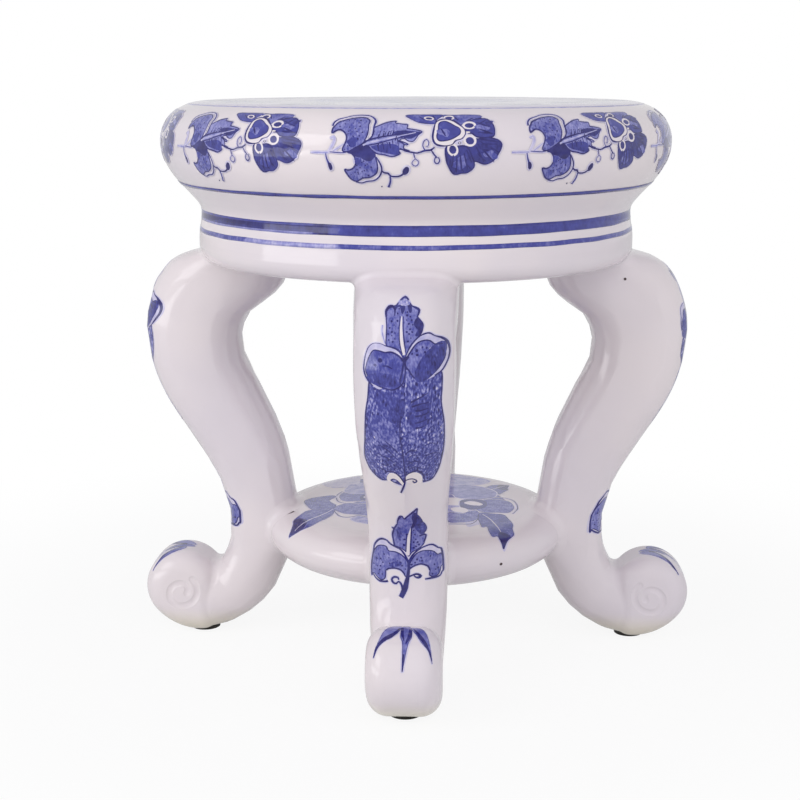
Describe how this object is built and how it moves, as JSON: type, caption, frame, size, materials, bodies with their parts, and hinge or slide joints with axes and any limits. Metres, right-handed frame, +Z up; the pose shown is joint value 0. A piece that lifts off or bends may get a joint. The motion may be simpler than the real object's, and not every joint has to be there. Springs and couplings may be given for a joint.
{
  "type": "garden stool",
  "caption": "Round porcelain garden stool with a bullnose seat, four scroll-footed cabriole legs and a low round shelf.",
  "frame": {"origin": "on the floor, under the centre of the seat", "axes": "+Z up along the stool's axis, -Y towards the front leg, +X towards the right leg"},
  "size_m": [0.2822, 0.2822, 0.275],
  "materials": {
    "glazed_porcelain": "glossy clear glaze over white porcelain, painted in cobalt blue",
    "pad_rubber": "matt",
    "pad_adhesive": "matt"
  },
  "bodies": {
    "root": {"seat_top": "glazed_porcelain", "apron_ring": "glazed_porcelain", "seat_underplate": "glazed_porcelain", "shelf": "glazed_porcelain", "leg_front": "glazed_porcelain", "leg_right": "glazed_porcelain", "leg_back": "glazed_porcelain", "leg_left": "glazed_porcelain", "foot_pad_front": "pad_rubber", "pad_adhesive_front": "pad_adhesive", "foot_pad_right": "pad_rubber", "pad_adhesive_right": "pad_adhesive", "foot_pad_back": "pad_rubber", "pad_adhesive_back": "pad_adhesive", "foot_pad_left": "pad_rubber", "pad_adhesive_left": "pad_adhesive"}
  },
  "joints": []
}
